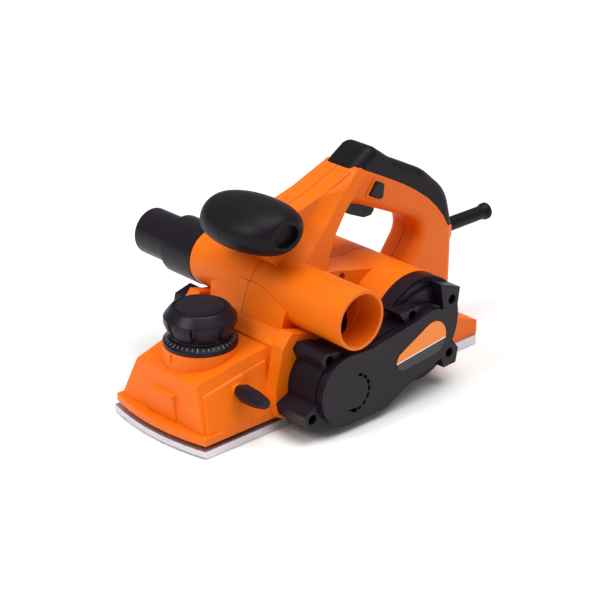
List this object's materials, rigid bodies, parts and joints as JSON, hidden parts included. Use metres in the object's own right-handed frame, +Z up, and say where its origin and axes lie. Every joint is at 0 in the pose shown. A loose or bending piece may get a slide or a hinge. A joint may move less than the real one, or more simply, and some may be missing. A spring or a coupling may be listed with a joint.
{
  "type": "electric hand planer",
  "caption": "Hand-held electric planer with belt-driven cutter drum, depth knob that lifts the front shoe, reversible chip tube with hose adapter, trigger handle and front grip.",
  "frame": {"origin": "on the resting face of the rear sole, on the centre plane, midway between the shoe's front corners and the sole's rear edge", "axes": "+Z up, +X from the nose towards the rear of the machine, +Y to the right-hand side; the belt cover is on -Y"},
  "size_m": [0.3771, 0.2488, 0.1869],
  "materials": {
    "orange_abs": "fine spark-textured moulded ABS",
    "black_nylon": "moulded glass-filled nylon, satin",
    "soft_grip": "soft overmoulded rubber",
    "cast_aluminium": "milled cast aluminium",
    "zinc_steel": "zinc-plated steel",
    "blade_steel": "ground carbide",
    "lamination_steel": "varnished laminations",
    "copper_wire": "enamelled copper",
    "brass_sheet": "stamped brass",
    "carbon": "pressed carbon",
    "belt_rubber": "ribbed neoprene belt",
    "badge_foil": "printed badge foil"
  },
  "bodies": {
    "root": {"base_housing": "orange_abs", "left_housing": "orange_abs", "right_housing": "orange_abs", "rear_sole": "cast_aluminium", "belt_cover": "black_nylon", "cover_badge": "badge_foil", "cover_screws": "zinc_steel", "bearing_plate": "black_nylon", "right_cover": "black_nylon", "right_cover_screws": "zinc_steel", "front_grip_left": "soft_grip", "front_grip_right": "soft_grip", "grip_pad_left": "soft_grip", "grip_pad_right": "soft_grip", "drum_bearing_left": "zinc_steel", "drum_bearing_right": "zinc_steel", "motor_bearing_left": "zinc_steel", "motor_bearing_right": "zinc_steel", "drive_belt": "belt_rubber", "stator": "lamination_steel", "field_coils": "copper_wire", "air_baffle": "black_nylon", "brush_holder_front": "brass_sheet", "brush_holder_rear": "brass_sheet", "carbon_brush_front": "carbon", "carbon_brush_rear": "carbon", "switch_body": "black_nylon", "trigger_pin": "zinc_steel", "capacitor": "black_nylon", "cable_clamp": "black_nylon", "cord_sleeve": "soft_grip", "chip_deflector": "black_nylon", "case_screws": "zinc_steel", "sole_screws": "zinc_steel"},
    "shoe": {"front_shoe": "cast_aluminium", "guide_pin_left": "zinc_steel", "guide_pin_right": "zinc_steel", "depth_spring": "zinc_steel"},
    "knob": {"depth_knob": "black_nylon", "depth_scale": "black_nylon", "depth_spindle": "zinc_steel"},
    "drum": {"cutter_drum": "cast_aluminium", "drum_shaft": "zinc_steel", "blade_front": "blade_steel", "blade_rear": "blade_steel", "clamp_bar_front": "zinc_steel", "clamp_bar_rear": "zinc_steel", "clamp_screws": "zinc_steel", "drum_pulley": "cast_aluminium"},
    "motor": {"motor_shaft": "zinc_steel", "rotor_core": "lamination_steel", "rotor_winding": "copper_wire", "commutator": "copper_wire", "cooling_fan": "black_nylon", "motor_pulley": "cast_aluminium"},
    "trigger": {"trigger": "black_nylon"},
    "lock": {"lock_button": "black_nylon"},
    "fence": {"fence_knob": "black_nylon"},
    "adapter": {"dust_adapter": "black_nylon"}
  },
  "joints": [
    {"name": "drum_spin", "type": "hinge", "parent": "root", "child": "drum", "pos_m": [-0.042, 0, 0.03], "axis": [0, 1, 0], "continuous": true},
    {"name": "motor_spin", "type": "hinge", "parent": "root", "child": "motor", "pos_m": [0.056, 0, 0.051], "axis": [0, 1, 0], "continuous": true},
    {"name": "knob_turn", "type": "hinge", "parent": "root", "child": "knob", "pos_m": [-0.1077, 0, 0.06], "axis": [0, 0, -1], "range_deg": [0, 300]},
    {"name": "shoe_lift", "type": "slide", "parent": "root", "child": "shoe", "axis": [0, 0, 1], "range_m": [0, 0.003], "stiffness_N_per_m": 40, "springref_m": 0.0498, "deforming": ["depth_spring"]},
    {"name": "trigger_pull", "type": "hinge", "parent": "root", "child": "trigger", "pos_m": [0.046, 0, 0.145], "axis": [0, -1, 0], "range_deg": [0, 6], "stiffness_Nm_per_rad": 0.3, "springref_deg": -5.73},
    {"name": "lock_press", "type": "slide", "parent": "root", "child": "lock", "axis": [0, 1, 0], "range_m": [0, 0.0028], "stiffness_N_per_m": 300, "springref_m": -0.001},
    {"name": "fence_turn", "type": "hinge", "parent": "root", "child": "fence", "pos_m": [-0.1095, -0.06, 0.041], "axis": [0, 1, 0], "range_deg": [0, 360]},
    {"name": "adapter_pull", "type": "slide", "parent": "root", "child": "adapter", "axis": [0, 1, 0], "range_m": [0, 0.062]}
  ],
  "couplings": [
    {"joint": "motor_spin", "follows": "drum_spin", "ratio": 1.619},
    {"joint": "shoe_lift", "follows": "knob_turn", "m_per_rad": 0.00057295}
  ]
}
